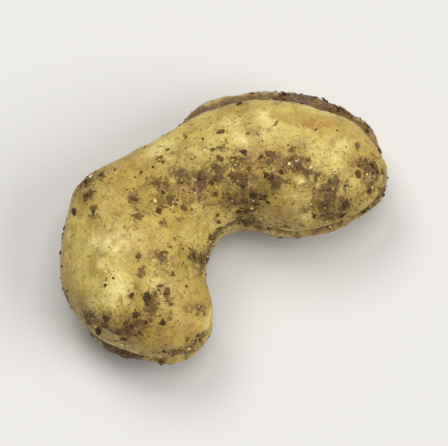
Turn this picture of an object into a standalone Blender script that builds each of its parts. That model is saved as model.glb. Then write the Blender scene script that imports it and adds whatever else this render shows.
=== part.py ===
"""A roasted cashew kernel, one solid, lying on its flattened side.

Metres, +Z up. The origin is under the middle of the kernel, on the surface it lies on. +X runs
along its length towards the slim tip, the fat lobe is at -X, and the bend opens towards -Y.
"""
import math

import bmesh
import bpy
import numpy as np

MM = 0.001

# Rungs across the kernel, from the tip of the fat lobe round the bend to the slim tip:
# the outer side x, y, then the inner side x, y, then the height from the seam to the top (mm)
RUNGS = np.array([
    (-12.5, -8.7, -2.9, -8.9, 5.2),
    (-14.1, -5.5, -2.5, -6.6, 5.6),
    (-14.6, -1.6, -2.9, -4.4, 5.8),
    (-13.2, 3.0, -2.2, -2.4, 5.7),
    (-9.7, 7.2, -1.0, -1.1, 5.3),
    (-4.4, 8.1, 0.5, -0.8, 4.8),
    (0.9, 8.3, 2.1, -1.5, 4.7),
    (5.6, 8.1, 4.2, -3.2, 5.0),
    (10.0, 6.1, 6.8, -4.8, 5.2),
    (13.6, 3.5, 9.5, -5.7, 5.0),
    (16.0, 0.6, 12.2, -6.2, 4.6),
])
LOWER_HEIGHT = 5.1        # from the seam down to the underside
TIP_BLUNTNESS = 4.5       # power of the curve that closes both tips
SECTION_SQUARENESS = 2.2  # 2 is a true ellipse
REST_CUT = 0.22           # how far the underside is flattened where it lies
LEVEL_SNAP = 0.05         # corners this near the level of the cut are brought onto it

# The two halves of the seed meet in a seam all round the side
SEAM_SLOPE_DEG = 7.0      # the seam climbs towards +Y
SEAM_HALF_WIDTH = 0.75
SEAM_DEPTH_OUTER = 0.55
SEAM_DEPTH_INNER = 0.85
SEAM_DEPTH_TIPS = 0.95
HALF_OVERHANG = 1.4       # how far the lower half stands past the upper one along the back
OVERHANG_RUN = (0.52, 0.67, 0.92, 1.0)  # starts, is full, is full, ends, along the kernel

# Cells across the six sides of the net that is wrapped round the kernel
CELLS = (34, 22, 22)
ROW_CROWDING = 2.7        # crowds the rows of cells beside the seam

# Broad dents and swellings of the upper face: x, y, reach, depth (mm)
DENTS = (
    (-2.6, 3.4, 3.4, 0.42),
    (4.6, 5.8, 2.6, 0.16),
    (8.6, -1.4, 2.8, 0.22),
    (-5.2, -5.4, 2.6, 0.30),
    (-9.8, 4.4, 2.4, 0.18),
    (-9.6, -0.6, 3.6, -0.22),
    (11.0, 2.4, 2.2, -0.12),
)

# Creases that fan out from the inside of the bend, where the flesh is gathered
BEND_INSIDE = (0.9, -2.9)
CREASE_COUNT = 9.0        # in a whole turn
CREASE_DEPTH = 0.16
CREASE_REACH = 5.2

# The root tip of the seed, a small nub in the seam beside the end of the fat lobe
ROOT_TIP = (-4.4, -8.1)
ROOT_TIP_REACH = 1.2
ROOT_TIP_HEIGHT = 0.45

SMOOTH_ANGLE = math.radians(40)


def clear_scene():
    for leftover in list(bpy.data.objects):
        bpy.data.objects.remove(leftover, do_unlink=True)


def smooth_step(value, start, end):
    ratio = np.clip((value - start) / (end - start), 0.0, 1.0)
    return ratio * ratio * (3.0 - 2.0 * ratio)


def curve_through(points, along):
    """A natural cubic curve through the points, read at places from 0 to 1 along it."""
    last = len(points) - 1
    equations = np.eye(last + 1)
    bends = np.zeros_like(points)
    for i in range(1, last):
        equations[i, i - 1:i + 2] = (1, 4, 1)
        bends[i] = 6 * (points[i - 1] - 2 * points[i] + points[i + 1])
    bends = np.linalg.solve(equations, bends)
    place = np.clip(along, 0.0, 1.0) * last
    i = np.minimum(place.astype(int), last - 1)
    ahead = (place - i)[:, None]
    behind = 1.0 - ahead
    straight = behind * points[i] + ahead * points[i + 1]
    bowed = (behind ** 3 - behind) * bends[i] + (ahead ** 3 - ahead) * bends[i + 1]
    return straight + bowed / 6


def rungs_along(share):
    """The rungs at even shares of the length of the kernel's middle line."""
    fine = np.linspace(0.0, 1.0, 1201)
    rungs = curve_through(RUNGS, fine)
    middle = (rungs[:, 0:2] + rungs[:, 2:4]) / 2
    steps = np.linalg.norm(np.diff(middle, axis=0), axis=1)
    length = np.concatenate([[0.0], np.cumsum(steps)])
    return curve_through(RUNGS, np.interp(share, length / length[-1], fine))


def wrapped_net(cells):
    """Points on a unit ball, as a box of square cells blown up, and its outward quads."""
    def spread(step, count):
        return math.tan(math.pi / 4 * (2 * step / count - 1))

    def crowded(step, count):
        side = 2 * step / count - 1
        return math.sinh(ROW_CROWDING * side) / math.sinh(ROW_CROWDING)

    number = {}
    points = []

    def corner(place):
        if place not in number:
            number[place] = len(points)
            x = spread(place[0], cells[0])
            y = spread(place[1], cells[1])
            z = crowded(place[2], cells[2])
            reach = math.sqrt(x * x + y * y + z * z)
            points.append((x / reach, y / reach, z / reach))
        return number[place]

    quads = []
    for axis in range(3):
        across = (axis + 1) % 3
        up = (axis + 2) % 3
        for end in (0, cells[axis]):
            for i in range(cells[across]):
                for j in range(cells[up]):
                    quad = []
                    for di, dj in ((0, 0), (1, 0), (1, 1), (0, 1)):
                        place = [0, 0, 0]
                        place[axis] = end
                        place[across] = i + di
                        place[up] = j + dj
                        quad.append(corner(tuple(place)))
                    quads.append(quad if end else quad[::-1])
    return np.array(points), quads


def kernel_form(ball):
    """The smooth kernel: each point of the ball goes to its place on the nut, in millimetres."""
    along = ball[:, 0]
    out = ball[:, 1]
    up = ball[:, 2]
    share = (along + 1) / 2
    rungs = rungs_along(share)
    middle = (rungs[:, 0:2] + rungs[:, 2:4]) / 2
    half = (rungs[:, 0:2] - rungs[:, 2:4]) / 2

    # Both tips close on a blunt curve instead of the ball's own
    room = np.maximum(1 - along ** 2, 1e-9)
    closing = np.sqrt(np.maximum(1 - np.abs(along) ** TIP_BLUNTNESS, 0) / room)
    closing = np.where(room < 1e-6, math.sqrt(TIP_BLUNTNESS / 2), closing)

    # The section is a little squarer than an ellipse
    power = SECTION_SQUARENESS
    round_reach = np.maximum(np.hypot(out, up), 1e-9)
    square_reach = (np.abs(out) ** power + np.abs(up) ** power) ** (1 / power)
    fuller = round_reach / np.maximum(square_reach, 1e-9)
    out = out * closing * fuller
    high = up * closing * fuller

    height = np.where(high > 0, rungs[:, 4], LOWER_HEIGHT)
    place = np.empty_like(ball)
    place[:, 0:2] = middle + half * out[:, None]
    place[:, 2] = LOWER_HEIGHT - REST_CUT + high * height

    # The seam climbs towards +Y, and the top and the underside stay where they are
    near_seam = (1 - np.abs(up)) ** 2 * (1 + 2 * np.abs(up))
    place[:, 2] += math.tan(math.radians(SEAM_SLOPE_DEG)) * place[:, 1] * near_seam
    return place


def seam_depth(ball):
    """Depth of the groove between the halves, over the distance from it, in millimetres."""
    from_seam = ball[:, 2] * LOWER_HEIGHT / SEAM_HALF_WIDTH
    groove = np.clip(1 - from_seam ** 2, 0, 1) ** 2
    inner = smooth_step(-ball[:, 1], -0.2, 0.5)
    side_depth = SEAM_DEPTH_OUTER + (SEAM_DEPTH_INNER - SEAM_DEPTH_OUTER) * inner
    tips = smooth_step(np.abs(ball[:, 0]), 0.86, 1.0)
    return groove * (side_depth + (SEAM_DEPTH_TIPS - side_depth) * tips)


def overhang(ball):
    """How far the lower half stands past the upper one, along the back and round the slim tip."""
    start, full, full_end, end = OVERHANG_RUN
    share = (ball[:, 0] + 1) / 2
    run = smooth_step(share, start, full) * (1 - smooth_step(share, full_end, end))
    back = smooth_step(ball[:, 1], -0.25, 0.15)
    below = smooth_step(-ball[:, 2] * LOWER_HEIGHT, -0.25, 0.25) * smooth_step(ball[:, 2], -0.95, -0.2)
    return HALF_OVERHANG * run * back * below


def relief(ball, place):
    """How far the surface stands out of the smooth kernel, in millimetres."""
    x = place[:, 0]
    y = place[:, 1]
    z = place[:, 2]
    raised = overhang(ball) - seam_depth(ball)

    for dent_x, dent_y, reach, depth in DENTS:
        away = ((x - dent_x) ** 2 + (y - dent_y) ** 2) / reach ** 2
        raised -= depth * np.exp(-away) * smooth_step(ball[:, 2], 0.05, 0.6)

    turn = np.arctan2(y - BEND_INSIDE[1], x - BEND_INSIDE[0])
    away = np.hypot(x - BEND_INSIDE[0], y - BEND_INSIDE[1]) / CREASE_REACH
    crease = np.abs(np.sin(turn * CREASE_COUNT / 2 + 0.6 * np.sin(0.9 * z))) ** 0.7
    raised -= CREASE_DEPTH * (1 - crease) * np.exp(-away ** 2 * 2)

    # Slow unevenness of a seed that grew pressed in its shell, gone where it lies flat
    uneven = 0.10 * np.sin(0.62 * x + 0.35 * y + 0.50 * z + 0.4)
    uneven += 0.08 * np.sin(-0.48 * x + 0.93 * y - 0.40 * z + 2.1)
    uneven += 0.05 * np.sin(1.25 * x - 0.70 * y + 1.10 * z + 4.0)
    raised += uneven * smooth_step(ball[:, 2], -0.95, -0.6)

    root = ((x - ROOT_TIP[0]) ** 2 + (y - ROOT_TIP[1]) ** 2) / ROOT_TIP_REACH ** 2
    root = root + (ball[:, 2] * LOWER_HEIGHT / ROOT_TIP_REACH) ** 2
    return raised + ROOT_TIP_HEIGHT * np.exp(-root)


def mesh_of(points, quads):
    mesh = bpy.data.meshes.new("kernel")
    mesh.from_pydata([tuple(point) for point in points], [], quads)
    mesh.update()
    return mesh


def kernel_mesh():
    ball, quads = wrapped_net(CELLS)
    place = kernel_form(ball)
    smooth = mesh_of(place, quads)
    facing = np.empty(len(place) * 3)
    smooth.vertex_normals.foreach_get("vector", facing)
    bpy.data.meshes.remove(smooth)
    place = place + facing.reshape(-1, 3) * relief(ball, place)[:, None]
    place[:, 0:2] -= (place[:, 0:2].max(axis=0) + place[:, 0:2].min(axis=0)) / 2
    return mesh_of(place * MM, quads)


def flatten_underside(mesh):
    """Cuts the kernel level where it lies on the surface, and closes the cut."""
    net = bmesh.new()
    net.from_mesh(mesh)
    for corner in net.verts:
        if abs(corner.co.z) < LEVEL_SNAP * MM:
            corner.co.z = 0.0
    cut = bmesh.ops.bisect_plane(
        net, geom=net.verts[:] + net.edges[:] + net.faces[:], dist=1e-7,
        plane_co=(0, 0, 0), plane_no=(0, 0, 1), clear_inner=True)
    rim = [item for item in cut["geom_cut"] if isinstance(item, bmesh.types.BMEdge)]
    bmesh.ops.holes_fill(net, edges=rim, sides=0)
    bmesh.ops.recalc_face_normals(net, faces=net.faces[:])
    net.to_mesh(mesh)
    net.free()


def nut_flesh():
    """Cream-yellow roasted flesh, dull with a trace of oil."""
    flesh = bpy.data.materials.new("roasted_kernel")
    flesh.use_nodes = True
    shader = flesh.node_tree.nodes["Principled BSDF"]
    shader.inputs["Base Color"].default_value = (0.50, 0.38, 0.13, 1.0)
    shader.inputs["Roughness"].default_value = 0.55
    shader.inputs["Metallic"].default_value = 0.0
    return flesh


def build():
    clear_scene()
    mesh = kernel_mesh()
    flatten_underside(mesh)
    mesh.materials.append(nut_flesh())
    mesh.shade_smooth()
    mesh.set_sharp_from_angle(angle=SMOOTH_ANGLE)
    kernel = bpy.data.objects.new("cashew_kernel", mesh)
    bpy.context.scene.collection.objects.link(kernel)


build()
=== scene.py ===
"""The looks of one roasted cashew kernel: its flesh, seed skin, ground pepper and crumbs.

Metres, +Z up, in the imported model's frame: +X along the kernel towards its slim tip, the fat lobe
at -X, the bend open towards -Y. Sizes of the nut's own features are given in millimetres.
"""
import math

import bmesh
import bpy
import numpy as np
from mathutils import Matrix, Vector, noise


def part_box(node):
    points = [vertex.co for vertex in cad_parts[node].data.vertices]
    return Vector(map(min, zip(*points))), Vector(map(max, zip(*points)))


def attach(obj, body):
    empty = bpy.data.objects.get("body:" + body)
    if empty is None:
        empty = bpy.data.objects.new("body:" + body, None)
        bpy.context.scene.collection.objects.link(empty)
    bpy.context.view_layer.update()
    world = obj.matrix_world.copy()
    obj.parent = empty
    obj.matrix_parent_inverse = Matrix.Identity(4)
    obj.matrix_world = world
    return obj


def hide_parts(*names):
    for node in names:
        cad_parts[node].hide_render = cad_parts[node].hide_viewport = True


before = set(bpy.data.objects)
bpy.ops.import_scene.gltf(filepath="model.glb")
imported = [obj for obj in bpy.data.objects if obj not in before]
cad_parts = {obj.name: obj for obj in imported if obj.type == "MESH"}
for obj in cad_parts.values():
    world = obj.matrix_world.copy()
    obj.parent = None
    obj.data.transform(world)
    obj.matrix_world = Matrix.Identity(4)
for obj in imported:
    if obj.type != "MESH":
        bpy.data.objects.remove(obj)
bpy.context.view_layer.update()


# The kernel: two seed halves grown together in one curve and roasted whole. Its flesh is cream
# yellow, waxy where it is bare, with painted highlight in its pale spots, and brown where the
# seasoning has soaked in. A groove runs all round its side where the halves meet, and it lies
# on a narrow flat of its underside.
MM = 0.001

# Rungs across the kernel, from the tip of the fat lobe round the bend to the slim tip:
# the outer side x, y, then the inner side x, y, then the height from the seam to the top
RUNGS = np.array([
    (-12.5, -8.7, -2.9, -8.9, 5.2),
    (-14.1, -5.5, -2.5, -6.6, 5.6),
    (-14.6, -1.6, -2.9, -4.4, 5.8),
    (-13.2, 3.0, -2.2, -2.4, 5.7),
    (-9.7, 7.2, -1.0, -1.1, 5.3),
    (-4.4, 8.1, 0.5, -0.8, 4.8),
    (0.9, 8.3, 2.1, -1.5, 4.7),
    (5.6, 8.1, 4.2, -3.2, 5.0),
    (10.0, 6.1, 6.8, -4.8, 5.2),
    (13.6, 3.5, 9.5, -5.7, 5.0),
    (16.0, 0.6, 12.2, -6.2, 4.6),
])
LOWER_HEIGHT = 5.1        # from the seam down to the underside
TIP_BLUNTNESS = 4.5       # power of the curve that closes both tips
SECTION_SQUARENESS = 2.2  # 2 is a true ellipse
REST_CUT = 0.22           # how far the underside is flattened where it lies
REST_SOFTNESS = 0.07      # the flat runs out into the round over this height

SEAM_SLOPE_DEG = 7.0      # the seam climbs towards +Y
SEAM_HALF_WIDTH = 0.75
SEAM_DEPTH_OUTER = 0.55
SEAM_DEPTH_INNER = 0.85
SEAM_DEPTH_TIPS = 0.95
SEAM_CRACK_WIDTH = 0.16   # the fine parting at the bottom of the groove
SEAM_CRACK_DEPTH = 0.22
PARTING_DIRT_AND_SHADE_REACH = 0.3       # the groove is painted brown this far up and down: pepper dirt and painted shade
SEAM_WANDER = 0.22        # the seam strays this far up and down
SEAM_STRAYS = ((1.0, 5, 0.7), (0.6, 11, 2.0), (0.35, 23, 4.1))  # share, waves in a turn, start
SEAM_UNEVEN = 0.35        # the groove is this share shallower or deeper from place to place
HALF_OVERHANG = 1.4       # how far the lower half stands past the upper one along the back
OVERHANG_RUN = (0.52, 0.67, 0.92, 1.0)  # starts, is full, is full, ends, along the kernel

# Broad dents and swellings of the upper face: x, y, reach, depth
DENTS = (
    (-2.6, 3.4, 3.4, 0.42),
    (4.6, 5.8, 2.6, 0.16),
    (8.6, -1.4, 2.8, 0.22),
    (-5.2, -5.4, 2.6, 0.30),
    (-9.8, 4.4, 2.4, 0.18),
    (-9.6, -0.6, 3.6, -0.22),
    (11.0, 2.4, 2.2, -0.12),
)
# Slow swells of a seed that grew pressed in its shell: height, how fast along x, y, z, start
SWELLS = (
    (0.10, 0.62, 0.35, 0.50, 0.4),
    (0.08, -0.48, 0.93, -0.40, 2.1),
    (0.05, 1.25, -0.70, 1.10, 4.0),
)
BEND_INSIDE = (0.9, -2.9)
CREASE_COUNT = 9.0        # creases in a whole turn round the inside of the bend
CREASE_DEPTH = 0.16
CREASE_REACH = 5.2
ROOT_TIP = (-4.4, -8.1)
ROOT_TIP_REACH = 1.2
ROOT_TIP_HEIGHT = 0.45

MIDDLE_LINE_POINTS = 1201  # the kernel's length is measured along this many
FINE_CELLS = (190, 90, 100)
ROW_CROWDING = 1.6        # crowds the rows of cells beside the seam
PROUD_ROOM = 0.16         # the kernel stays this far inside its box, so that grains fit on it
kernel_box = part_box("cashew_kernel")


def smooth_step(value, start, end):
    ratio = np.clip((value - start) / (end - start), 0.0, 1.0)
    return ratio * ratio * (3.0 - 2.0 * ratio)


def curve_through(points, along):
    """A natural cubic curve through the points, read at places from 0 to 1 along it."""
    last = len(points) - 1
    equations = np.eye(last + 1)
    bends = np.zeros_like(points)
    for i in range(1, last):
        equations[i, i - 1:i + 2] = (1, 4, 1)
        bends[i] = 6 * (points[i - 1] - 2 * points[i] + points[i + 1])
    bends = np.linalg.solve(equations, bends)
    place = np.clip(along, 0.0, 1.0) * last
    i = np.minimum(place.astype(int), last - 1)
    ahead = (place - i)[:, None]
    behind = 1.0 - ahead
    straight = behind * points[i] + ahead * points[i + 1]
    bowed = (behind ** 3 - behind) * bends[i] + (ahead ** 3 - ahead) * bends[i + 1]
    return straight + bowed / 6


def rungs_along(share):
    """The rungs at even shares of the length of the kernel's middle line."""
    fine = np.linspace(0.0, 1.0, MIDDLE_LINE_POINTS)
    rungs = curve_through(RUNGS, fine)
    middle = (rungs[:, 0:2] + rungs[:, 2:4]) / 2
    steps = np.linalg.norm(np.diff(middle, axis=0), axis=1)
    length = np.concatenate([[0.0], np.cumsum(steps)])
    return curve_through(RUNGS, np.interp(share, length / length[-1], fine))


def wrapped_net(cells):
    """Points on a unit ball, as a box of square cells blown up, and its outward quads."""
    def spread(step, count):
        return math.tan(math.pi / 4 * (2 * step / count - 1))

    def crowded(step, count):
        side = 2 * step / count - 1
        return math.sinh(ROW_CROWDING * side) / math.sinh(ROW_CROWDING)

    number = {}
    points = []

    def corner(place):
        if place not in number:
            number[place] = len(points)
            x = spread(place[0], cells[0])
            y = spread(place[1], cells[1])
            z = crowded(place[2], cells[2])
            reach = math.sqrt(x * x + y * y + z * z)
            points.append((x / reach, y / reach, z / reach))
        return number[place]

    quads = []
    for axis in range(3):
        across = (axis + 1) % 3
        up = (axis + 2) % 3
        for end in (0, cells[axis]):
            for i in range(cells[across]):
                for j in range(cells[up]):
                    quad = []
                    for di, dj in ((0, 0), (1, 0), (1, 1), (0, 1)):
                        place = [0, 0, 0]
                        place[axis] = end
                        place[across] = i + di
                        place[up] = j + dj
                        quad.append(corner(tuple(place)))
                    quads.append(quad if end else quad[::-1])
    return np.array(points), quads


def kernel_form(ball):
    """The smooth kernel: each point of the ball goes to its place on the nut, in millimetres."""
    along = ball[:, 0]
    out = ball[:, 1]
    up = ball[:, 2]
    rungs = rungs_along((along + 1) / 2)
    middle = (rungs[:, 0:2] + rungs[:, 2:4]) / 2
    half = (rungs[:, 0:2] - rungs[:, 2:4]) / 2

    # Both tips close on a blunt curve instead of the ball's own
    room = np.maximum(1 - along ** 2, 1e-9)
    closing = np.sqrt(np.maximum(1 - np.abs(along) ** TIP_BLUNTNESS, 0) / room)
    closing = np.where(room < 1e-6, math.sqrt(TIP_BLUNTNESS / 2), closing)

    # The section is a little squarer than an ellipse
    power = SECTION_SQUARENESS
    round_reach = np.maximum(np.hypot(out, up), 1e-9)
    square_reach = (np.abs(out) ** power + np.abs(up) ** power) ** (1 / power)
    fuller = round_reach / np.maximum(square_reach, 1e-9)
    out = out * closing * fuller
    high = up * closing * fuller

    height = np.where(high > 0, rungs[:, 4], LOWER_HEIGHT)
    place = np.empty_like(ball)
    place[:, 0:2] = middle + half * out[:, None]
    place[:, 2] = LOWER_HEIGHT - REST_CUT + high * height

    # The seam climbs towards +Y, and the top and the underside stay where they are
    near_seam = (1 - np.abs(up)) ** 2 * (1 + 2 * np.abs(up))
    place[:, 2] += math.tan(math.radians(SEAM_SLOPE_DEG)) * place[:, 1] * near_seam
    return place


def above_seam(ball):
    """Distance up the side from the seam, which strays a little, in millimetres."""
    turn = np.arctan2(ball[:, 1], ball[:, 0])
    stray = sum(share * np.sin(waves * turn + start) for share, waves, start in SEAM_STRAYS)
    near = 1 - np.abs(ball[:, 2])
    return ball[:, 2] * LOWER_HEIGHT + SEAM_WANDER / 2 * stray * near


def seam_depth(ball):
    """Depth of the groove between the halves and of the fine parting in it, in millimetres."""
    from_seam = above_seam(ball)
    turn = np.arctan2(ball[:, 1], ball[:, 0])
    uneven = 1 + SEAM_UNEVEN * np.sin(7 * turn + 1.1) * np.sin(3 * turn + 2.6)
    groove = np.clip(1 - (from_seam / SEAM_HALF_WIDTH) ** 2, 0, 1) ** 2
    inner = smooth_step(-ball[:, 1], -0.2, 0.5)
    side_depth = SEAM_DEPTH_OUTER + (SEAM_DEPTH_INNER - SEAM_DEPTH_OUTER) * inner
    tips = smooth_step(np.abs(ball[:, 0]), 0.86, 1.0)
    crack = SEAM_CRACK_DEPTH * np.exp(-(from_seam / SEAM_CRACK_WIDTH) ** 2)
    return groove * uneven * (side_depth + (SEAM_DEPTH_TIPS - side_depth) * tips) + crack


def overhang(ball):
    """How far the lower half stands past the upper one, along the back and round the slim tip."""
    start, full, full_end, end = OVERHANG_RUN
    share = (ball[:, 0] + 1) / 2
    run = smooth_step(share, start, full) * (1 - smooth_step(share, full_end, end))
    back = smooth_step(ball[:, 1], -0.25, 0.15)
    below = smooth_step(-above_seam(ball), -0.25, 0.25) * smooth_step(ball[:, 2], -0.95, -0.2)
    return HALF_OVERHANG * run * back * below


def relief(ball, place):
    """How far the surface stands out of the smooth kernel, in millimetres."""
    x = place[:, 0]
    y = place[:, 1]
    z = place[:, 2]
    raised = overhang(ball) - seam_depth(ball)

    for dent_x, dent_y, reach, depth in DENTS:
        away = ((x - dent_x) ** 2 + (y - dent_y) ** 2) / reach ** 2
        raised -= depth * np.exp(-away) * smooth_step(ball[:, 2], 0.05, 0.6)

    turn = np.arctan2(y - BEND_INSIDE[1], x - BEND_INSIDE[0])
    away = np.hypot(x - BEND_INSIDE[0], y - BEND_INSIDE[1]) / CREASE_REACH
    crease = np.abs(np.sin(turn * CREASE_COUNT / 2 + 0.6 * np.sin(0.9 * z))) ** 0.7
    raised -= CREASE_DEPTH * (1 - crease) * np.exp(-away ** 2 * 2)

    # The swells are gone where it lies flat
    uneven = sum(height * np.sin(along_x * x + along_y * y + along_z * z + start)
                 for height, along_x, along_y, along_z, start in SWELLS)
    raised += uneven * smooth_step(ball[:, 2], -0.95, -0.6)

    root = ((x - ROOT_TIP[0]) ** 2 + (y - ROOT_TIP[1]) ** 2) / ROOT_TIP_REACH ** 2
    root = root + (ball[:, 2] * LOWER_HEIGHT / ROOT_TIP_REACH) ** 2
    return raised + ROOT_TIP_HEIGHT * np.exp(-root)


def mesh_of(name, points, faces):
    mesh = bpy.data.meshes.new(name)
    mesh.from_pydata([tuple(point) for point in points], [], faces)
    mesh.update()
    return mesh


def numbers_of(items, what, width):
    """A property of all of a mesh's corners, as one array."""
    values = np.empty(len(items) * width, np.float32)
    items.foreach_get(what, values)
    return values.reshape(-1, width)


def paint(mesh, name, values):
    """Keeps a value for each corner of the mesh, for its shape and its material to read."""
    is_vector = values.ndim == 2
    layer = mesh.attributes.new(name, "FLOAT_VECTOR" if is_vector else "FLOAT", "POINT")
    layer.data.foreach_set("vector" if is_vector else "value", values.astype(np.float32).ravel())


# Dark clusters of seasoning on the upper face: x, y, reach
CLUSTERS = (
    (-3.8, 3.1, 0.7), (-4.1, 1.5, 0.9), (-1.9, 3.2, 0.7), (-0.8, 1.9, 0.9), (0.6, 2.1, 0.7),
    (2.4, 2.2, 0.7), (2.0, 0.7, 0.7), (0.9, -0.3, 0.7), (2.4, -0.9, 0.7), (4.6, 0.8, 0.7),
    (4.5, -0.9, 0.7), (6.4, -0.1, 0.7), (7.1, -1.4, 0.6), (7.8, -3.5, 0.7), (7.1, -4.4, 0.9),
    (8.7, -4.8, 0.8), (11.8, -2.8, 0.9), (8.3, -2.6, 0.5), (-6.7, -2.5, 0.6), (-3.8, -3.0, 0.7),
    (-9.0, -5.5, 0.8), (-11.2, -6.1, 0.8), (-8.8, 6.5, 1.0), (-13.8, -3.8, 0.6),
    (-13.0, -5.5, 0.6), (11.4, -4.3, 0.6), (-5.3, -6.8, 0.5), (-9.4, 5.0, 0.35),
    (-6.4, 3.1, 0.45), (-6.8, 1.2, 0.4), (-3.4, -3.7, 0.5),
)
# Lone dark flakes, all of one reach: x, y
LONE_FLAKES = (
    (-10.0, 0.1), (-11.2, -1.8), (-8.5, -3.0), (10.6, 1.1), (6.8, 1.0), (-0.1, 6.2),
    (-5.4, 0.0), (-4.9, -1.5), (-7.6, -5.4), (9.6, -3.1), (6.6, 3.7), (2.2, 3.7),
    (-3.0, 5.3), (-7.7, 6.0), (4.8, 3.8), (-9.7, 3.2),
)
LONE_REACH = 0.32
HAZE_SPREAD = 2.1         # the haze reaches this many times as far as its cluster
HAZE_STRENGTH = 0.75
# Orange-brown stains where the flesh roasted darker: x, y, reach
STAINS = (
    (9.1, 2.5, 0.9), (-9.3, 0.3, 0.8), (-6.9, -2.0, 0.9), (-11.5, -7.4, 0.9), (-6.7, -7.7, 0.9),
    (-6.6, -6.0, 0.8), (3.7, -3.0, 0.9), (3.6, 1.4, 1.6), (-2.2, 1.8, 1.6), (5.8, -0.3, 1.4),
    (7.7, -4.3, 1.2), (-10.9, -6.4, 1.4), (-9.4, -7.9, 0.9), (10.0, 1.8, 0.7), (11.5, -2.5, 1.3),
)
# Pale waxy flesh and painted highlight: x, y, reach
PALE_AND_HIGHLIGHT_SPOTS = (
    (-10.2, 0.6, 1.8), (-11.1, -3.1, 1.6), (5.0, 4.6, 2.1), (-4.1, -1.1, 0.9), (-7.7, -4.5, 0.7),
    (6.4, -1.8, 0.8), (-2.6, 6.0, 1.4), (10.9, -0.5, 1.2), (5.2, -3.0, 1.2),
)
RAGGED_SIZE = 1.1         # the outlines of the marks waver in lobes of this size
RAGGED_REACH = 0.55       # and by up to this much
RAGGED_STARTS = ((5.1, 2.3, 8.7), (1.6, 7.4, 3.2))
# Chance patches for the rest of the surface, which the lists leave out: size, start of their
# noise, and the levels of the noise where a patch starts and where it is full
HIDDEN_PATCHES = {
    "marks": (3.2, (1.7, 9.2, 4.4), 0.05, 0.75),
    "haze": (3.8, (1.7, 9.2, 4.4), -0.25, 0.6),
    "stain": (4.5, (7.3, 0.6, 2.9), 0.0, 0.8),
    "pale": (5.5, (3.9, 6.1, 0.2), 0.0, 0.7),
}
DIRTY_RIM_PATCHES = (2.0, (8.8, 3.3, 6.1), -0.3, 0.35)
UPPER_FACE = (0.12, 0.4)  # how far up the ball the lists start to hold, and hold in full
CLEAN_RIM_SHADE = 0.25          # what a clean stretch of the rim keeps of the darkening, which is painted shade
LEDGE_DIRT_AND_SHADE = 0.8          # how dark the ledge along the back is painted: seasoning dirt and painted shade under the upper half


def waver(place):
    """Moves the places in x and y by a smooth noise, which gives what is drawn a ragged outline."""
    moved = place.copy()
    for i, point in enumerate(place):
        for axis, start in enumerate(RAGGED_STARTS):
            spot = Vector(point) / RAGGED_SIZE + Vector(start)
            moved[i, axis] += RAGGED_REACH * noise.noise(spot)
    return moved


def spots(place, centres):
    """How near each place is to the nearest spot: 1 in its middle, towards 0 past its reach."""
    nearness = np.zeros(len(place))
    for x, y, reach in centres:
        away = ((place[:, 0] - x) ** 2 + (place[:, 1] - y) ** 2) / reach ** 2
        nearness = np.maximum(nearness, np.exp(-away))
    return nearness


def haze_about(place, centres):
    """The brown haze that runs together about the clusters, from 0 to 1."""
    total = np.zeros(len(place))
    for x, y, reach in centres:
        away = ((place[:, 0] - x) ** 2 + (place[:, 1] - y) ** 2) / (reach * HAZE_SPREAD) ** 2
        total += np.exp(-away)
    return 1 - np.exp(-HAZE_STRENGTH * total)


def rim_of(ball):
    """How near each place is to the groove and to the ledge of the lower half below it."""
    height = above_seam(ball)
    back = smooth_step(ball[:, 1], -0.3, 0.3)
    return smooth_step(height, 0.9, 0.1) * smooth_step(height, -1.4 - 1.2 * back, -0.2)


def patches(place, size, start, low, high):
    """Chance patches of about this size, from 0 to 1."""
    field = [noise.fractal(Vector(point) / size + Vector(start), 0.9, 2.1, 3) for point in place]
    return smooth_step(np.array(field), low, high)


def kernel_mesh():
    """The kernel at fine resolution, with its marks kept on its corners."""
    ball, quads = wrapped_net(FINE_CELLS)
    place = kernel_form(ball)
    smooth = mesh_of("smooth", place, quads)
    facing = numbers_of(smooth.vertices, "normal", 3)
    bpy.data.meshes.remove(smooth)
    place = place + facing * relief(ball, place)[:, None]
    place[:, 2] = REST_SOFTNESS * np.logaddexp(0.0, place[:, 2] / REST_SOFTNESS)

    low = np.array(kernel_box[0]) / MM + (PROUD_ROOM, PROUD_ROOM, 0.0)
    high = np.array(kernel_box[1]) / MM - PROUD_ROOM
    place -= place.min(axis=0)
    place = low + place * (high - low) / place.max(axis=0)

    mesh = mesh_of("kernel", place * MM, quads)
    mesh.shade_smooth()
    paint(mesh, "ball", ball)

    # The upper face has its marks where the lists put them, and the rest has chance patches
    ragged = waver(place)
    lone = [flake + (LONE_REACH,) for flake in LONE_FLAKES]
    listed = {
        "marks": spots(ragged, [*CLUSTERS, *lone]),
        "haze": haze_about(ragged, CLUSTERS),
        "stain": spots(ragged, STAINS),
        "pale": spots(ragged, PALE_AND_HIGHLIGHT_SPOTS),
    }
    upper = smooth_step(ball[:, 2], *UPPER_FACE)
    for name, patch in HIDDEN_PATCHES.items():
        hidden = patches(place, *patch)
        paint(mesh, name, hidden + (listed[name] - hidden) * upper)

    # The rim of the groove is painted darker, more in chance patches of dirt, and the ledge along
    # the back all along: seasoning dirt and painted shade
    ledge = smooth_step(ball[:, 0], 0.3, 0.55) * smooth_step(ball[:, 1], 0.0, 0.3)
    rim_dirt_and_shade = np.maximum(patches(place, *DIRTY_RIM_PATCHES), LEDGE_DIRT_AND_SHADE * ledge)
    paint(mesh, "rim", rim_of(ball) * (CLEAN_RIM_SHADE + (1 - CLEAN_RIM_SHADE) * rim_dirt_and_shade))
    # Down in the groove the flesh is painted darker: pepper dirt and painted shade
    paint(mesh, "parting", np.exp(-(above_seam(ball) / PARTING_DIRT_AND_SHADE_REACH) ** 2))
    return mesh


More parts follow.
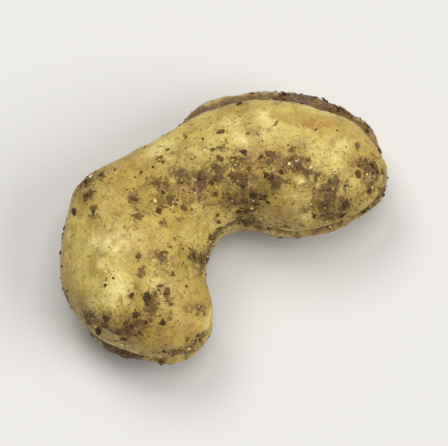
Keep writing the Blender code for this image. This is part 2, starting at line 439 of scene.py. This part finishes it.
class Wire:
    """One output in a node tree. Sums of wires and numbers add the tree's Math nodes."""

    def __init__(self, tree, socket=None):
        self.tree = tree
        self.socket = socket

    def node(self, kind, settings, sockets, out=0):
        """Adds a node, sets its settings, then the values or links of its sockets."""
        item = self.tree.nodes.new(kind)
        for name, value in settings.items():
            setattr(item, name, value)
        inputs = {socket.identifier: socket for socket in item.inputs}
        outputs = {socket.identifier: socket for socket in item.outputs}
        for name, value in sockets.items():
            for single in value if isinstance(value, list) else [value]:
                if isinstance(single, Wire):
                    self.tree.links.new(single.socket, inputs[name])
                else:
                    inputs[name].default_value = single
        return Wire(self.tree, outputs[out] if out in outputs else item.outputs[0])

    def maths(self, operation, first, second):
        sockets = {"Value": first, "Value_001": second}
        return self.node("ShaderNodeMath", {"operation": operation}, sockets)

    def __add__(self, other):
        return self.maths("ADD", self, other)

    def __radd__(self, other):
        return self.maths("ADD", other, self)

    def __sub__(self, other):
        return self.maths("SUBTRACT", self, other)

    def __rsub__(self, other):
        return self.maths("SUBTRACT", other, self)

    def __mul__(self, other):
        return self.maths("MULTIPLY", self, other)

    def __rmul__(self, other):
        return self.maths("MULTIPLY", other, self)

    def __pow__(self, other):
        return self.maths("POWER", self, other)


def scaled(vector, factor):
    sockets = {"Vector": vector, "Scale": factor}
    return vector.node("ShaderNodeVectorMath", {"operation": "SCALE"}, sockets)


def stretched(vector, factors):
    sockets = {"Vector": vector, "Vector_001": factors}
    return vector.node("ShaderNodeVectorMath", {"operation": "MULTIPLY"}, sockets)


def cloud(place, scale, seed, detail=2.0, roughness=0.5, distortion=0.0):
    """A soft noise about 0.5, with this many swells to one unit of the place."""
    sockets = {"Vector": place, "W": seed, "Scale": scale, "Detail": detail,
               "Roughness": roughness, "Distortion": distortion}
    return place.node("ShaderNodeTexNoise", {"noise_dimensions": "4D"}, sockets, "Fac")


def rise(value, start, end):
    """0 up to start, 1 from end, and a soft step between."""
    sockets = {"Value": value, "From Min": start, "From Max": end}
    return value.node("ShaderNodeMapRange", {"interpolation_type": "SMOOTHSTEP"}, sockets)


def tree_with_inputs(name, sizes):
    """A Geometry Nodes tree that takes a mesh, a material and named sizes."""
    tree = bpy.data.node_groups.new(name, "GeometryNodeTree")
    tree.interface.new_socket("Geometry", in_out="OUTPUT", socket_type="NodeSocketGeometry")
    tree.interface.new_socket("Geometry", in_out="INPUT", socket_type="NodeSocketGeometry")
    tree.interface.new_socket("Material", in_out="INPUT", socket_type="NodeSocketMaterial")
    for size in sizes:
        tree.interface.new_socket(size, in_out="INPUT", socket_type="NodeSocketFloat")
    group_input = tree.nodes.new("NodeGroupInput")
    wires = {socket.name: Wire(tree, socket) for socket in group_input.outputs if socket.name}
    return tree, wires


def close_tree(geometry, material):
    """Ends a tree with real meshes of one material."""
    tree = geometry.tree
    real = geometry.node("GeometryNodeRealizeInstances", {}, {"Geometry": geometry})
    sockets = {"Geometry": real, "Material": material}
    finished = geometry.node("GeometryNodeSetMaterial", {}, sockets)
    tree.links.new(finished.socket, tree.nodes.new("NodeGroupOutput").inputs[0])


def grown(name, start_mesh, tree, material, sizes):
    """The plain mesh that a tree makes from a mesh with these sizes."""
    worker = bpy.data.objects.new(name, start_mesh)
    bpy.context.scene.collection.objects.link(worker)
    modifier = worker.modifiers.new(name, "NODES")
    modifier.node_group = tree
    inputs = {item.name: item.identifier for item in tree.interface.items_tree
              if item.in_out == "INPUT"}
    modifier[inputs["Material"]] = material
    for size, value in sizes.items():
        modifier[inputs[size]] = value
    seen = worker.evaluated_get(bpy.context.evaluated_depsgraph_get())
    mesh = bpy.data.meshes.new_from_object(seen)
    mesh.name = name
    bpy.data.objects.remove(worker)
    return mesh


# Heights and depths in millimetres, and how many lumps, ripples and pits there are to one
SURFACE_SIZES = {
    "Lump Height": 0.44,
    "Lumps": 0.24,
    "Ripple Height": 0.26,
    "Ripples": 0.9,
    "Fibre Height": 0.15,
    "Pit Depth": 0.10,
    "Pits": 0.55,
    "Floor Fade": 0.8,
}
FIBRE_STRETCH = (9.0, 26.0, 26.0)  # the noise of the fibres is finer across than along
CLEAR_OF_FLOOR = (0.25, 1.4)       # skin and pepper start at this height and are full at that one


def surface_tree():
    """The fine relief of the flesh, and the fields of seed skin and pepper that lie on it."""
    tree, size = tree_with_inputs("kernel_surface", SURFACE_SIZES)
    start = Wire(tree)
    place = scaled(start.node("GeometryNodeInputPosition", {}, {}), 1 / MM)
    height = start.node("ShaderNodeSeparateXYZ", {}, {"Vector": place}, "Z")

    def kept(name, kind="FLOAT"):
        return start.node("GeometryNodeInputNamedAttribute", {"data_type": kind}, {"Name": name})

    # Wrinkles follow the length of the seed
    fibre_place = stretched(kept("ball", "FLOAT_VECTOR"), FIBRE_STRETCH)
    lift = (cloud(place, size["Lumps"], 1.0) - 0.5) * size["Lump Height"]
    lift = lift + (cloud(place, size["Ripples"], 2.0, 3.0) - 0.5) * size["Ripple Height"]
    lift = lift + (cloud(fibre_place, 1.0, 3.0, 3.0, 0.55, 0.6) - 0.5) * size["Fibre Height"]
    sockets = {"Vector": place, "Scale": size["Pits"]}
    cell = start.node("ShaderNodeTexVoronoi", {}, sockets, "Distance")
    pit = (1 - rise(cell, 0.05, 0.22)) * rise(cloud(place, 0.35, 4.0), 0.48, 0.62)
    lift = lift - pit * size["Pit Depth"]
    lift = lift * rise(height, 0.0, size["Floor Fade"])

    normal = start.node("GeometryNodeInputNormal", {}, {})
    sockets = {"Geometry": size["Geometry"], "Offset": scaled(normal, lift * MM)}
    shaped = start.node("GeometryNodeSetPosition", {}, sockets)

    off_floor = rise(height, *CLEAR_OF_FLOOR)
    skin = (cloud(place, 0.5, 5.0, 6.0, 0.62, 0.5) - 0.5) * 2.0
    skin = skin + kept("rim") * 0.36 + kept("marks") * 0.06 - kept("pale") * 0.2
    skin = skin * off_floor
    pepper = kept("marks") + kept("haze") * 0.3 + kept("rim") * 0.35
    pepper = (pepper + 0.05) * off_floor
    for name, field in (("skin", skin), ("pepper", pepper)):
        settings = {"data_type": "FLOAT", "domain": "POINT"}
        sockets = {"Geometry": shaped, "Name": name, "Value": field}
        shaped = start.node("GeometryNodeStoreNamedAttribute", settings, sockets)
    close_tree(shaped, size["Material"])
    return tree


def srgb(red, green, blue):
    """A colour given as it is seen, 0 to 255, as the light that a shader takes."""
    light = []
    for share in (red / 255, green / 255, blue / 255):
        light.append(share / 12.92 if share <= 0.04045 else ((share + 0.055) / 1.055) ** 2.4)
    return (*light, 1.0)


def blend(share, first, second, how="MIX"):
    """Goes from the first colour to the second one as the share goes from 0 to 1."""
    settings = {"data_type": "RGBA", "blend_type": how}
    sockets = {"Factor_Float": share, "A_Color": first, "B_Color": second}
    return share.node("ShaderNodeMix", settings, sockets, "Result_Color")


def new_material(name):
    """A material with its Principled shader and a wire to start its other nodes from."""
    material = bpy.data.materials.new(name)
    material.use_nodes = True
    return material, material.node_tree.nodes["Principled BSDF"], Wire(material.node_tree)


def bumped(start, height, strength):
    """The normal of a surface with this height in millimetres."""
    sockets = {"Height": height, "Distance": MM, "Strength": strength}
    return start.node("ShaderNodeBump", {}, sockets)


def close_material(shader, varied, even):
    """Links what varies over the surface to the shader, and sets what is the same all over."""
    for name, wire in varied.items():
        shader.id_data.links.new(wire.socket, shader.inputs[name])
    for name, value in even.items():
        shader.inputs[name].default_value = value


FLESH_CREAM = srgb(207, 183, 98)
FLESH_GOLD = srgb(192, 162, 76)
FLESH_TAN = srgb(174, 144, 64)
FLESH_OLIVE = srgb(150, 124, 44)
# Pale waxy flesh, also used as painted highlight
FLESH_WAXY_AND_HIGHLIGHT = srgb(234, 217, 146)
# Brown of roasted stains, also used as painted shade in the hairline cracks
ROAST_AND_CRACK_SHADE_BROWN = srgb(158, 110, 46)
DUST_BROWN = srgb(122, 92, 32)
MARK_BROWN = srgb(102, 74, 26)
MARK_PLUM = srgb(106, 72, 48)
# Brown of the dirt by the skin flakes, and of the dirt and painted shade along the groove
SEAM_DIRT_AND_SHADE_BROWN = srgb(104, 78, 42)
FLESH_FINISH = {
    "Specular IOR Level": 0.45,
    "Coat Weight": 0.08,
    "Coat Roughness": 0.35,
    "Subsurface Weight": 0.28,
    "Subsurface Radius": (1.0, 0.55, 0.2),
    "Subsurface Scale": 0.5 * MM,
}


def flesh_material():
    material, shader, start = new_material("roasted_flesh")
    place = scaled(start.node("ShaderNodeTexCoord", {}, {}, "Object"), 1 / MM)

    def kept(name):
        return start.node("ShaderNodeAttribute", {"attribute_name": name}, {}, "Fac")

    marks = kept("marks")
    haze = kept("haze")
    # A fine powder that breaks up the edge of every stain
    powder = cloud(place, 10.0, 33.0, 3.0, 0.6) - 0.5
    ragged = cloud(place, 2.4, 15.0, 6.0, 0.62) - 0.5
    smeared = cloud(place, 1.3, 24.0, 5.0, 0.6, 0.6) - 0.5
    clotted = cloud(place, 1.9, 20.0, 6.0, 0.6, 0.8) - 0.5
    fields = {
        # Bare flesh: pale and waxy with painted highlight, tanned, mottled with olive, roasted in
        # stains
        "waxy_and_highlight": kept("pale") * 0.8 + (cloud(place, 0.9, 13.0, 6.0, 0.62) - 0.5) * 1.8,
        "tanned": cloud(place, 0.45, 28.0, 6.0, 0.6, 0.4) + haze * 0.05,
        "mottled": cloud(place, 0.75, 12.0, 9.0, 0.7, 0.3) + haze * 0.08 + powder * 0.3,
        "roasted": kept("stain") * 0.9 + (cloud(place, 1.5, 14.0, 5.0, 0.6) - 0.5) * 1.6,
        # Seasoning: dust that has soaked in, ragged marks, fine dots and specks
        "dusty": marks * 0.35 + haze * 0.6 + smeared * 2.8 + ragged * 0.8 + powder * 1.2,
        "marked": marks * 0.8 + haze * 0.2 + clotted * 3.2 + powder * 1.2,
        "dotted": cloud(place, 4.2, 16.0, 3.0) + haze * 0.09,
        "specked": cloud(place, 1.9, 29.0, 3.0, 0.5) + haze * 0.05 + powder * 0.5,
        # Dirt under the flakes of skin; along the rim of the groove and down in it, dirt and
        # painted shade
        "skinned": kept("skin"),
        "rimmed_dirt_and_shade": kept("rim") * 0.8 + smeared * 2.2 + ragged * 1.6,
        "parted_dirt_and_shade": kept("parting") + ragged * 1.2,
    }
    soaked = blend(rise(cloud(place, 0.5, 30.0, 3.0), 0.46, 0.56), MARK_BROWN, MARK_PLUM)
    # Layer on layer: the colour, how strong it is, and the levels of its field from where it
    # starts to where it is full
    layers = {
        "waxy_and_highlight": (FLESH_WAXY_AND_HIGHLIGHT, 0.68, 0.1, 0.85),
        "tanned": (FLESH_TAN, 0.8, 0.42, 0.64),
        "mottled": (FLESH_OLIVE, 0.7, 0.42, 0.68),
        "roasted": (ROAST_AND_CRACK_SHADE_BROWN, 0.55, 0.3, 0.95),
        "dusty": (DUST_BROWN, 0.85, 0.28, 0.8),
        "marked": (soaked, 0.88, 0.52, 0.95),
        "dotted": (MARK_BROWN, 0.65, 0.655, 0.72),
        "specked": (DUST_BROWN, 0.7, 0.58, 0.74),
        "skinned": (SEAM_DIRT_AND_SHADE_BROWN, 0.7, 0.16, 0.42),
        "rimmed_dirt_and_shade": (SEAM_DIRT_AND_SHADE_BROWN, 0.8, 0.25, 0.85),
        "parted_dirt_and_shade": (SEAM_DIRT_AND_SHADE_BROWN, 0.75, 0.15, 0.9),
    }
    colour = blend(rise(cloud(place, 0.16, 11.0), 0.4, 0.62), FLESH_CREAM, FLESH_GOLD)
    masks = {}
    for name, (tint, strength, low, full) in layers.items():
        masks[name] = rise(fields[name], low, full)
        colour = blend(masks[name] * strength, colour, tint)
    grain = cloud(place, 7.0, 18.0, 3.0)
    colour = blend(rise(grain, 0.3, 0.75) * 0.2, colour, FLESH_OLIVE, "MULTIPLY")

    # Hairline cracks run with the fibres here and there, and are painted dark along their line as
    # painted shade at their bottom
    ball = start.node("ShaderNodeAttribute", {"attribute_name": "ball"}, {}, "Vector")
    strand = cloud(stretched(ball, (7.0, 17.0, 17.0)), 1.0, 25.0, 3.0, 0.5, 1.2)
    crack = 1 - rise(start.maths("ABSOLUTE", strand - 0.5, 0.0), 0.0, 0.012)
    crack = crack * rise(cloud(place, 0.33, 26.0, 2.0), 0.46, 0.6)
    crack = crack * rise(cloud(place, 1.7, 27.0, 2.0), 0.47, 0.58)
    colour = blend(crack * 0.4, colour, ROAST_AND_CRACK_SHADE_BROWN)

    marked = masks["marked"]
    dusty = masks["dusty"]
    height = cloud(place, 3.2, 19.0, 5.0, 0.58) * 0.11 + grain * 0.03
    height = height + marked * 0.08 + masks["dotted"] * 0.05 + dusty * 0.03 - crack * 0.05
    oily = rise(cloud(place, 0.45, 32.0, 3.0), 0.4, 0.6)
    rough = 0.48 + 0.22 * marked + 0.14 * dusty + 0.08 * grain - 0.1 * oily
    varied = {"Base Color": colour, "Roughness": rough, "Normal": bumped(start, height, 0.9)}
    close_material(shader, varied, FLESH_FINISH)
    return material


roasted_flesh = flesh_material()
kernel = bpy.data.objects.new(
    "kernel", grown("kernel", kernel_mesh(), surface_tree(), roasted_flesh, SURFACE_SIZES))
bpy.context.scene.collection.objects.link(kernel)
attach(kernel, "root")
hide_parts("cashew_kernel")


# Remnants of the seed skin: a thin purple-brown film that clings in the groove and in patches
# after the kernel was peeled. Each remnant is a torn flake with its edges curled off the flesh.
SKIN_LEVEL = 0.40         # flakes cover the flesh where its field of skin is above this
SKIN_THICKNESS = 0.035
SKIN_CURL = 0.09          # how far a torn edge lifts
SKIN_CURL_RUN = 0.07      # over this much of the field
CURLED_PATCHES = (1.3, (4.2, 8.8, 1.1), -0.4, 0.5)  # size, start, first and full level
SMALLEST_FLAKE = 14       # faces
WELD_DISTANCE = 0.004     # slivers of the cut are closed up
SKIN_PLUM = srgb(116, 88, 72)
SKIN_DARK = srgb(78, 54, 42)
SKIN_TAN = srgb(152, 124, 98)


def cut_at_level(corners, triangles, field, level):
    """The part of a mesh where the field is above a level, cut clean along the level line."""
    kept_corner = {}
    cut_corner = {}
    points = []
    above = []
    faces = []

    def kept(i):
        if i not in kept_corner:
            kept_corner[i] = len(points)
            points.append(corners[i])
            above.append(field[i] - level)
        return kept_corner[i]

    def cut(i, j):
        edge = (min(i, j), max(i, j))
        if edge not in cut_corner:
            share = (level - field[edge[0]]) / (field[edge[1]] - field[edge[0]])
            cut_corner[edge] = len(points)
            points.append(corners[edge[0]] + (corners[edge[1]] - corners[edge[0]]) * share)
            above.append(0.0)
        return cut_corner[edge]

    inside = field > level
    for triangle in triangles[inside[triangles].any(axis=1)]:
        face = []
        for i, j in zip(triangle, np.roll(triangle, -1)):
            if inside[i]:
                face.append(kept(i))
            if inside[i] != inside[j]:
                face.append(cut(i, j))
        faces.append(face)
    return np.array(points), np.array(above), faces


def skin_mesh(kernel_piece, material):
    base = kernel_piece.data
    base.calc_loop_triangles()
    corners = numbers_of(base.vertices, "co", 3).astype(float)
    facing = numbers_of(base.vertices, "normal", 3).astype(float)
    triangles = numbers_of(base.loop_triangles, "vertices", 3).astype(int)
    field = numbers_of(base.attributes["skin"].data, "value", 1)[:, 0].astype(float)
    both, above, faces = cut_at_level(np.hstack([corners, facing]), triangles, field, SKIN_LEVEL)

    place = both[:, 0:3]
    curl = np.exp(-above / SKIN_CURL_RUN)
    curl *= patches(place / MM, *CURLED_PATCHES)
    lift = SKIN_THICKNESS * 0.7 + SKIN_CURL * curl
    mesh = mesh_of("seed_skin", place + both[:, 3:6] * lift[:, None] * MM, faces)
    paint(mesh, "above", above)

    net = bmesh.new()
    net.from_mesh(mesh)
    bmesh.ops.remove_doubles(net, verts=net.verts[:], dist=WELD_DISTANCE * MM)
    # No flake hangs together by a single corner
    while pinched := [corner for corner in net.verts if not corner.is_manifold]:
        bmesh.ops.delete(net, geom=pinched, context="VERTS")
    net.faces.ensure_lookup_table()
    seen = set()
    for face in net.faces:
        if face in seen:
            continue
        flake = [face]
        seen.add(face)
        for member in flake:
            for edge in member.edges:
                for other in edge.link_faces:
                    if other not in seen:
                        seen.add(other)
                        flake.append(other)
        if len(flake) < SMALLEST_FLAKE:
            for member in flake:
                member.tag = True
    scraps = [face for face in net.faces if face.tag]
    bmesh.ops.delete(net, geom=scraps, context="FACES")
    net.to_mesh(mesh)
    net.free()
    mesh.shade_smooth()
    mesh.materials.append(material)
    return mesh


def skin_material():
    material, shader, start = new_material("seed_skin")
    place = scaled(start.node("ShaderNodeTexCoord", {}, {}, "Object"), 1 / MM)
    streaks = cloud(place, 1.6, 21.0, 5.0, 0.6, 1.2)
    colour = blend(rise(streaks, 0.38, 0.62), SKIN_PLUM, SKIN_DARK)
    colour = blend(rise(cloud(place, 2.7, 22.0, 4.0), 0.52, 0.72) * 0.7, colour, SKIN_TAN)
    above = start.node("ShaderNodeAttribute", {"attribute_name": "above"}, {}, "Fac")
    colour = blend((1 - rise(above, 0.0, 0.08)) * 0.5, colour, SKIN_TAN)
    wrinkles = cloud(place, 4.5, 23.0, 4.0, 0.6, 0.8)
    varied = {"Base Color": colour, "Roughness": 0.5 + 0.3 * wrinkles,
              "Normal": bumped(start, wrinkles * 0.1, 0.8)}
    close_material(shader, varied, {})
    return material


skin = bpy.data.objects.new("skin_remnants", skin_mesh(kernel, skin_material()))
bpy.context.scene.collection.objects.link(skin)
wall = skin.modifiers.new("thickness", "SOLIDIFY")
wall.thickness = SKIN_THICKNESS * MM
wall.offset = -1.0
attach(skin, "root")


# Ground pepper: crushed corns, from dust to flakes over half a millimetre across. The grains are
# angular, dark outside and tan inside, lie thickest in the marks and stick in the oil, half sunk.
GRAIN_SHAPES = 8
PLATE_SIDES = 9
DENTS_ACROSS = 3.0        # the noise that dents a grain has this many swells to its width
DENT_REACH = 1.7          # and moves its corners by up to half this share of the width
GRAIN_TILT = 0.3          # radians
NARROWEST = 0.55          # the least breadth of a grain, as a share of its length
THINNEST = 0.6            # a grain is from this to THICKEST times as thick as its flatness says
THICKEST = 1.2
FLAKE_SIZES = {"Grains per Square": 3.4, "Smallest": 0.13, "Largest": 0.60, "Rarity": 2.6,
               "Flatness": 0.42, "Sunk": 0.10, "Seed": 3}
DUST_SIZES = {"Grains per Square": 11.0, "Smallest": 0.05, "Largest": 0.13, "Rarity": 1.5,
              "Flatness": 0.7, "Sunk": 0.15, "Seed": 8}
PEPPER_BLACK = srgb(68, 48, 26)
PEPPER_BROWN = srgb(106, 75, 40)
PEPPER_TAN = srgb(158, 126, 82)


def scatter_tree(name, field):
    """Angular grains strewn over a mesh, as thick as its field of this name says."""
    tree, size = tree_with_inputs(name, FLAKE_SIZES)
    start = Wire(tree)

    def chance(low, high, seed):
        sockets = {"Min_001": low, "Max_001": high, "Seed": seed}
        return start.node("FunctionNodeRandomValue", {"data_type": "FLOAT"}, sockets, "Value_001")

    # Each shape is a chip or a thin plate of husk, dented by a noise of its own
    chip = start.node("GeometryNodeMeshIcoSphere", {}, {"Radius": 0.5, "Subdivisions": 1})
    sockets = {"Vertices": PLATE_SIDES, "Radius": 0.5, "Depth": 0.5}
    plate = start.node("GeometryNodeMeshCylinder", {"fill_type": "TRIANGLE_FAN"}, sockets)
    shapes = []
    for shape in range(GRAIN_SHAPES):
        plain = plate if shape % 2 else chip
        position = start.node("GeometryNodeInputPosition", {}, {})
        settings = {"noise_dimensions": "4D"}
        sockets = {"Vector": position, "W": 3.1 * shape, "Scale": DENTS_ACROSS, "Detail": 1.0}
        bent = start.node("ShaderNodeTexNoise", settings, sockets, "Color")
        sockets = {"Vector": bent, "Vector_001": (0.5, 0.5, 0.5)}
        bent = start.node("ShaderNodeVectorMath", {"operation": "SUBTRACT"}, sockets)
        sockets = {"Geometry": plain, "Offset": scaled(bent, DENT_REACH)}
        dented = start.node("GeometryNodeSetPosition", {}, sockets)
        shapes.append(start.node("GeometryNodeGeometryToInstance", {}, {"Geometry": dented}))
    shapes = start.node("GeometryNodeJoinGeometry", {}, {"Geometry": shapes})

    thick = start.node("GeometryNodeInputNamedAttribute", {"data_type": "FLOAT"}, {"Name": field})
    seed = size["Seed"]
    sockets = {"Mesh": size["Geometry"], "Density": thick * size["Grains per Square"] * 1e6,
               "Seed": seed}
    strewn = start.node("GeometryNodeDistributePointsOnFaces", {}, sockets)
    outputs = {socket.identifier: Wire(tree, socket) for socket in strewn.socket.node.outputs}
    width = chance(0.0, 1.0, seed) ** size["Rarity"]
    width = (size["Smallest"] + (size["Largest"] - size["Smallest"]) * width) * MM
    settings = {"data_type": "FLOAT", "domain": "POINT"}
    sockets = {"Geometry": strewn, "Name": "width", "Value": width}
    strewn = start.node("GeometryNodeStoreNamedAttribute", settings, sockets)
    width = start.node("GeometryNodeInputNamedAttribute", {"data_type": "FLOAT"}, {"Name": "width"})
    raised = width * (size["Flatness"] * 0.5 - size["Sunk"])
    sockets = {"Geometry": strewn, "Offset": scaled(outputs["Normal"], raised)}
    strewn = start.node("GeometryNodeSetPosition", {}, sockets)

    sockets = {"Min": (-GRAIN_TILT, -GRAIN_TILT, -math.pi),
               "Max": (GRAIN_TILT, GRAIN_TILT, math.pi), "Seed": seed + 1}
    turn = start.node("FunctionNodeRandomValue", {"data_type": "FLOAT_VECTOR"}, sockets, "Value")
    turn = start.node("FunctionNodeEulerToRotation", {}, {"Euler": turn})
    sockets = {"Rotation": outputs["Rotation"], "Rotate By": turn}
    turn = start.node("FunctionNodeRotateRotation", {"rotation_space": "LOCAL"}, sockets)
    sockets = {"Min_002": 0, "Max_002": GRAIN_SHAPES - 1, "Seed": seed + 2}
    pick = start.node("FunctionNodeRandomValue", {"data_type": "INT"}, sockets, "Value_002")
    sockets = {"X": width, "Y": width * chance(NARROWEST, 1.0, seed + 3),
               "Z": width * size["Flatness"] * chance(THINNEST, THICKEST, seed + 4)}
    spread = start.node("ShaderNodeCombineXYZ", {}, sockets)
    sockets = {"Points": strewn, "Instance": shapes, "Pick Instance": True,
               "Instance Index": pick, "Rotation": turn, "Scale": spread}
    grains = start.node("GeometryNodeInstanceOnPoints", {}, sockets)
    settings = {"data_type": "FLOAT", "domain": "INSTANCE"}
    sockets = {"Geometry": grains, "Name": "tone", "Value": chance(0.0, 1.0, seed + 5)}
    grains = start.node("GeometryNodeStoreNamedAttribute", settings, sockets)
    close_tree(grains, size["Material"])
    return tree


def kept_inside(mesh, box):
    """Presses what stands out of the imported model's box back to its sides."""
    corners = numbers_of(mesh.vertices, "co", 3)
    corners = np.clip(corners, np.array(box[0]), np.array(box[1]))
    mesh.vertices.foreach_set("co", corners.ravel())
    mesh.update()


def strewn_piece(name, tree, material, sizes):
    """A piece of many grains strewn over the kernel."""
    mesh = grown(name, kernel.data, tree, material, sizes)
    kept_inside(mesh, kernel_box)
    piece = bpy.data.objects.new(name, mesh)
    bpy.context.scene.collection.objects.link(piece)
    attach(piece, "root")
    return piece


def pepper_material():
    material, shader, start = new_material("ground_pepper")
    place = scaled(start.node("ShaderNodeTexCoord", {}, {}, "Object"), 1 / MM)
    tone = start.node("ShaderNodeAttribute", {"attribute_name": "tone"}, {}, "Fac")
    mottle = cloud(place, 6.0, 31.0, 3.0)
    colour = blend(rise(tone + (mottle - 0.5) * 0.8, 0.25, 0.6), PEPPER_BLACK, PEPPER_BROWN)
    colour = blend(rise(tone + (mottle - 0.5) * 0.6, 0.84, 0.96), colour, PEPPER_TAN)
    varied = {"Base Color": colour, "Roughness": 0.5 + 0.35 * mottle,
              "Normal": bumped(start, mottle * 0.06, 0.7)}
    close_material(shader, varied, {"Specular IOR Level": 0.2})
    return material


ground_pepper = pepper_material()
pepper_tree = scatter_tree("strewn_pepper", "pepper")
strewn_piece("pepper_flakes", pepper_tree, ground_pepper, FLAKE_SIZES)
strewn_piece("pepper_dust", pepper_tree, ground_pepper, DUST_SIZES)


# Crumbs of pale flesh that broke off while the kernels were tumbled in the seasoning, and stuck
# among the pepper.
CRUMB_SIZES = {"Grains per Square": 0.65, "Smallest": 0.10, "Largest": 0.34, "Rarity": 2.0,
               "Flatness": 0.75, "Sunk": 0.22, "Seed": 21}
CRUMB_PALE = srgb(220, 199, 138)
CRUMB_GOLD = srgb(190, 158, 90)


def crumb_material():
    material, shader, start = new_material("flesh_crumbs")
    place = scaled(start.node("ShaderNodeTexCoord", {}, {}, "Object"), 1 / MM)
    tone = start.node("ShaderNodeAttribute", {"attribute_name": "tone"}, {}, "Fac")
    mottle = cloud(place, 5.0, 33.0, 3.0)
    colour = blend(rise(tone + (mottle - 0.5) * 0.8, 0.3, 0.8), CRUMB_PALE, CRUMB_GOLD)
    varied = {"Base Color": colour, "Roughness": 0.45 + 0.3 * mottle,
              "Normal": bumped(start, mottle * 0.05, 0.7)}
    close_material(shader, varied, {})
    return material


strewn_piece("flesh_crumbs", pepper_tree, crumb_material(), CRUMB_SIZES)


# The place where it is shown: a plain pale floor under large soft lights, and the camera that
# looks steeply down over the fat lobe, with its image's top towards the back of the kernel.
FLOOR_HALF = 3.0
FLOOR_COLOUR = srgb(206, 204, 200)
FLOOR_SHADE = srgb(200, 198, 194)
CAMERA_TURN_DEG = -27.0
CAMERA_RISE_DEG = 72.6
CAMERA_DISTANCE = 0.45
CAMERA_LENS = 450.0
CAMERA_SENSOR = 36.0
AIM = Vector((-0.2 * MM, -0.8 * MM, 5.0 * MM))
# Lights: name, turn and rise seen from the nut in degrees, distance, size, watts
LIGHTS = (
    ("key", 98.0, 56.0, 0.60, 0.30, 1.6),
    ("fill", -45.0, 40.0, 0.80, 0.60, 4.0),
    ("top", 20.0, 80.0, 0.75, 0.40, 2.1),
)
WORLD_LIGHT = 0.33


def towards(turn_deg, rise_deg):
    """The direction at this turn from +X and this rise above the floor."""
    turn = math.radians(turn_deg)
    up = math.radians(rise_deg)
    return Vector((math.cos(turn) * math.cos(up), math.sin(turn) * math.cos(up), math.sin(up)))


def aimed(name, data, direction, distance):
    item = bpy.data.objects.new(name, data)
    item.location = AIM + direction * distance
    item.rotation_euler = direction.to_track_quat("Z", "Y").to_euler()
    bpy.context.scene.collection.objects.link(item)
    return item


def floor_material():
    material, shader, start = new_material("floor")
    place = start.node("ShaderNodeTexCoord", {}, {}, "Object")
    shade = cloud(place, 40.0, 41.0, 3.0)
    colour = blend(rise(shade, 0.3, 0.7) * 0.3, FLOOR_COLOUR, FLOOR_SHADE)
    close_material(shader, {"Base Color": colour}, {"Roughness": 0.7})
    return material


floor_corners = [(-FLOOR_HALF, -FLOOR_HALF, 0), (FLOOR_HALF, -FLOOR_HALF, 0),
                 (FLOOR_HALF, FLOOR_HALF, 0), (-FLOOR_HALF, FLOOR_HALF, 0)]
floor = bpy.data.objects.new("floor", mesh_of("floor", floor_corners, [(0, 1, 2, 3)]))
floor.data.materials.append(floor_material())
bpy.context.scene.collection.objects.link(floor)

for light_name, light_turn, light_rise, away, width, watts in LIGHTS:
    lamp = bpy.data.lights.new(light_name, "AREA")
    lamp.shape = "DISK"
    lamp.size = width
    lamp.energy = watts
    softbox = aimed(light_name, lamp, towards(light_turn, light_rise), away)
    softbox.visible_camera = False

world = bpy.data.worlds.new("studio")
bpy.context.scene.world = world
world.use_nodes = True
world.node_tree.nodes["Background"].inputs["Color"].default_value = (1.0, 1.0, 1.0, 1.0)
world.node_tree.nodes["Background"].inputs["Strength"].default_value = WORLD_LIGHT
bpy.context.scene.view_settings.view_transform = "Standard"

camera = bpy.data.cameras.new("camera")
camera.lens = CAMERA_LENS
camera.sensor_width = CAMERA_SENSOR
camera_back = towards(CAMERA_TURN_DEG - 90.0, CAMERA_RISE_DEG)
camera_item = aimed("camera", camera, camera_back, CAMERA_DISTANCE)
bpy.context.scene.camera = camera_item
